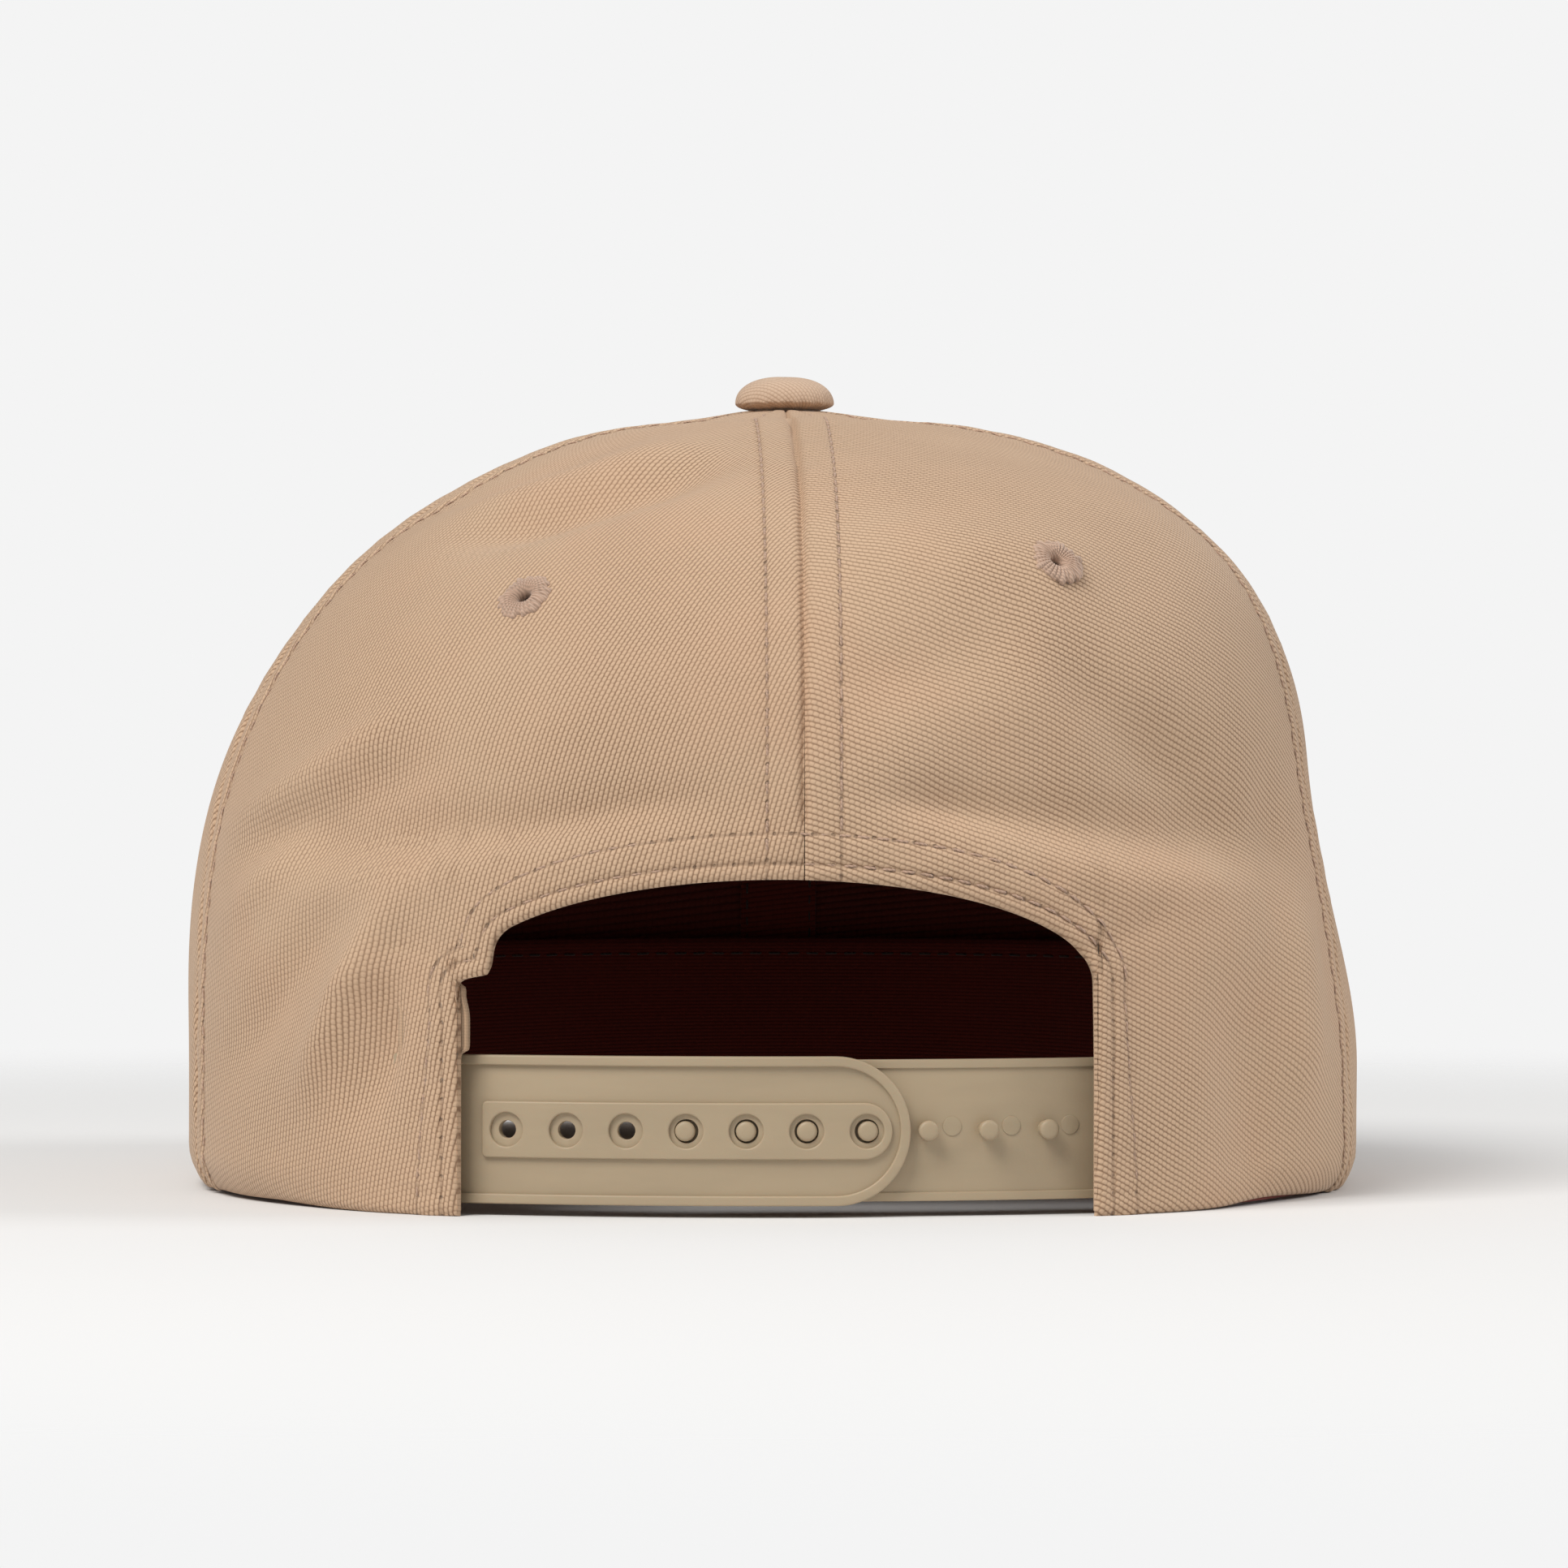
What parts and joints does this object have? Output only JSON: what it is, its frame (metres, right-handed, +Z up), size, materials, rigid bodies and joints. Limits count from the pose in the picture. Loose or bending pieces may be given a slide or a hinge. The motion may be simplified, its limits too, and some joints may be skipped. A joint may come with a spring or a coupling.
{
  "type": "baseball cap",
  "caption": "Cloth baseball cap with a panelled crown, stiff visor, covered top button and a snap-fastened plastic strap across the rear opening.",
  "frame": {"origin": "centre of the head opening, in the plane that the rim stands on", "axes": "+X towards the wearer's right, +Y forward towards the visor, +Z up to the top button"},
  "size_m": [0.1728, 0.2617, 0.1173],
  "materials": {
    "twill": "tan cotton twill, matt with a faint sheen",
    "twill_inside": "wrong side of the tan twill, matt",
    "lining": "dark brown woven tape and sweatband, matt",
    "buckram": "stiff open-weave buckram, dark",
    "core": "white felted nonwoven strip",
    "label": "blank woven satin label",
    "board": "white moulded visor board",
    "thread": "polyester thread slightly pinker than the twill",
    "metal": "zinc-plated steel",
    "strap_plastic": "beige injection-moulded plastic, satin"
  },
  "bodies": {
    "crown": {"rear_panel_left": "twill", "rear_panel_right": "twill", "side_panel_left": "twill", "side_panel_right": "twill", "front_panel_left": "twill", "front_panel_right": "twill", "buckram_left": "buckram", "buckram_right": "buckram", "tape_back": "lining", "tape_side_left": "lining", "tape_side_right": "lining", "tape_front_left": "lining", "tape_front_right": "lining", "tape_front": "lining", "arch_facing": "twill_inside", "sweatband": "lining", "sweatband_core": "core", "care_label": "label", "visor_top_cover": "twill", "visor_board": "board", "visor_under_cover": "twill", "button_cover": "twill", "button_shell": "metal", "button_rivet": "metal", "button_washer": "metal", "eyelet_rear_left": "thread", "eyelet_rear_right": "thread", "eyelet_side_left": "thread", "eyelet_side_right": "thread", "eyelet_front_left": "thread", "eyelet_front_right": "thread", "outer_strap_tail": "strap_plastic", "inner_strap_tail": "strap_plastic"},
    "outer_strap": {"outer_strap": "strap_plastic"},
    "inner_strap": {"inner_strap": "strap_plastic"}
  },
  "joints": [
    {"name": "outer_strap_swing", "type": "hinge", "parent": "crown", "child": "outer_strap", "pos_m": [-0.041, -0.08347, 0.0116], "axis": [0, 0, -1], "range_deg": [0, 62], "stiffness_Nm_per_rad": 0.01},
    {"name": "inner_strap_swing", "type": "hinge", "parent": "crown", "child": "inner_strap", "pos_m": [0.041, -0.08177, 0.0116], "axis": [0, 0, -1], "range_deg": [0, 45], "stiffness_Nm_per_rad": 0.01}
  ]
}
